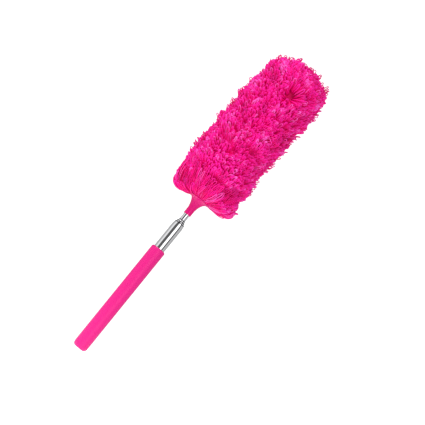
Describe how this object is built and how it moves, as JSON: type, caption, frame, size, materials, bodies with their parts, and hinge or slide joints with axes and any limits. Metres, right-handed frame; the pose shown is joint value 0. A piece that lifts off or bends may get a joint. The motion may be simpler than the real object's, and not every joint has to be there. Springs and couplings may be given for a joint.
{
  "type": "feather duster",
  "caption": "Hand duster with a round head of looped microfibre yarn on a telescopic chrome pole and a straight plastic grip.",
  "frame": {"origin": "centre of the flat face at the closed end of the grip", "axes": "+Z along the pole from the grip's closed end to the tip of the duster head; X and Y across it"},
  "size_m": [0.122, 0.122, 0.587],
  "materials": {
    "grip_plastic": "satin moulded pink plastic",
    "neck_plastic": "glossy moulded pink plastic",
    "chrome": "bright chrome plate on drawn steel tube",
    "plug_plastic": "natural white moulded plastic",
    "spring_bronze": "rolled spring bronze sheet",
    "ferrule_brass": "turned brass",
    "screw_steel": "zinc-plated steel",
    "core_plastic": "extruded white plastic",
    "backing_cloth": "woven polyester backing cloth",
    "tie_cord": "twisted polyester cord",
    "microfibre": "looped microfibre yarn pile"
  },
  "bodies": {
    "handle": {"grip": "grip_plastic", "pole_tube_1": "chrome", "end_plug_1": "plug_plastic"},
    "slider_2": {"friction_spring_2": "spring_bronze"},
    "section_2": {"pole_tube_2": "chrome", "end_plug_2": "plug_plastic", "stop_ferrule_2": "ferrule_brass"},
    "slider_3": {"friction_spring_3": "spring_bronze"},
    "section_3": {"pole_tube_3": "chrome", "end_plug_3": "plug_plastic", "stop_ferrule_3": "ferrule_brass"},
    "slider_4": {"friction_spring_4": "spring_bronze"},
    "section_4": {"pole_tube_4": "chrome", "end_plug_4": "plug_plastic", "stop_ferrule_4": "ferrule_brass", "tip_insert": "plug_plastic", "neck_screw": "screw_steel", "neck": "neck_plastic", "core_rod": "core_plastic", "core_cap": "core_plastic", "sleeve": "backing_cloth", "gather_tie": "tie_cord", "top_knot": "tie_cord", "fringe_hem": "microfibre", "fringe_row_01": "microfibre", "fringe_row_02": "microfibre", "fringe_row_03": "microfibre", "fringe_row_04": "microfibre", "fringe_row_05": "microfibre", "fringe_row_06": "microfibre", "fringe_row_07": "microfibre", "fringe_row_08": "microfibre", "fringe_row_09": "microfibre", "fringe_row_10": "microfibre", "fringe_crown": "microfibre"}
  },
  "joints": [
    {"name": "slide_2", "type": "slide", "parent": "handle", "child": "slider_2", "axis": [0, 0, 1], "range_m": [0, 0.222]},
    {"name": "swivel_2", "type": "hinge", "parent": "slider_2", "child": "section_2", "pos_m": [0, 0, 0.02], "axis": [0, 0, 1], "continuous": true},
    {"name": "slide_3", "type": "slide", "parent": "section_2", "child": "slider_3", "axis": [0, 0, 1], "range_m": [0, 0.2175]},
    {"name": "swivel_3", "type": "hinge", "parent": "slider_3", "child": "section_3", "pos_m": [0, 0, 0.028], "axis": [0, 0, 1], "continuous": true},
    {"name": "slide_4", "type": "slide", "parent": "section_3", "child": "slider_4", "axis": [0, 0, 1], "range_m": [0, 0.2135]},
    {"name": "swivel_4", "type": "hinge", "parent": "slider_4", "child": "section_4", "pos_m": [0, 0, 0.036], "axis": [0, 0, 1], "continuous": true}
  ]
}
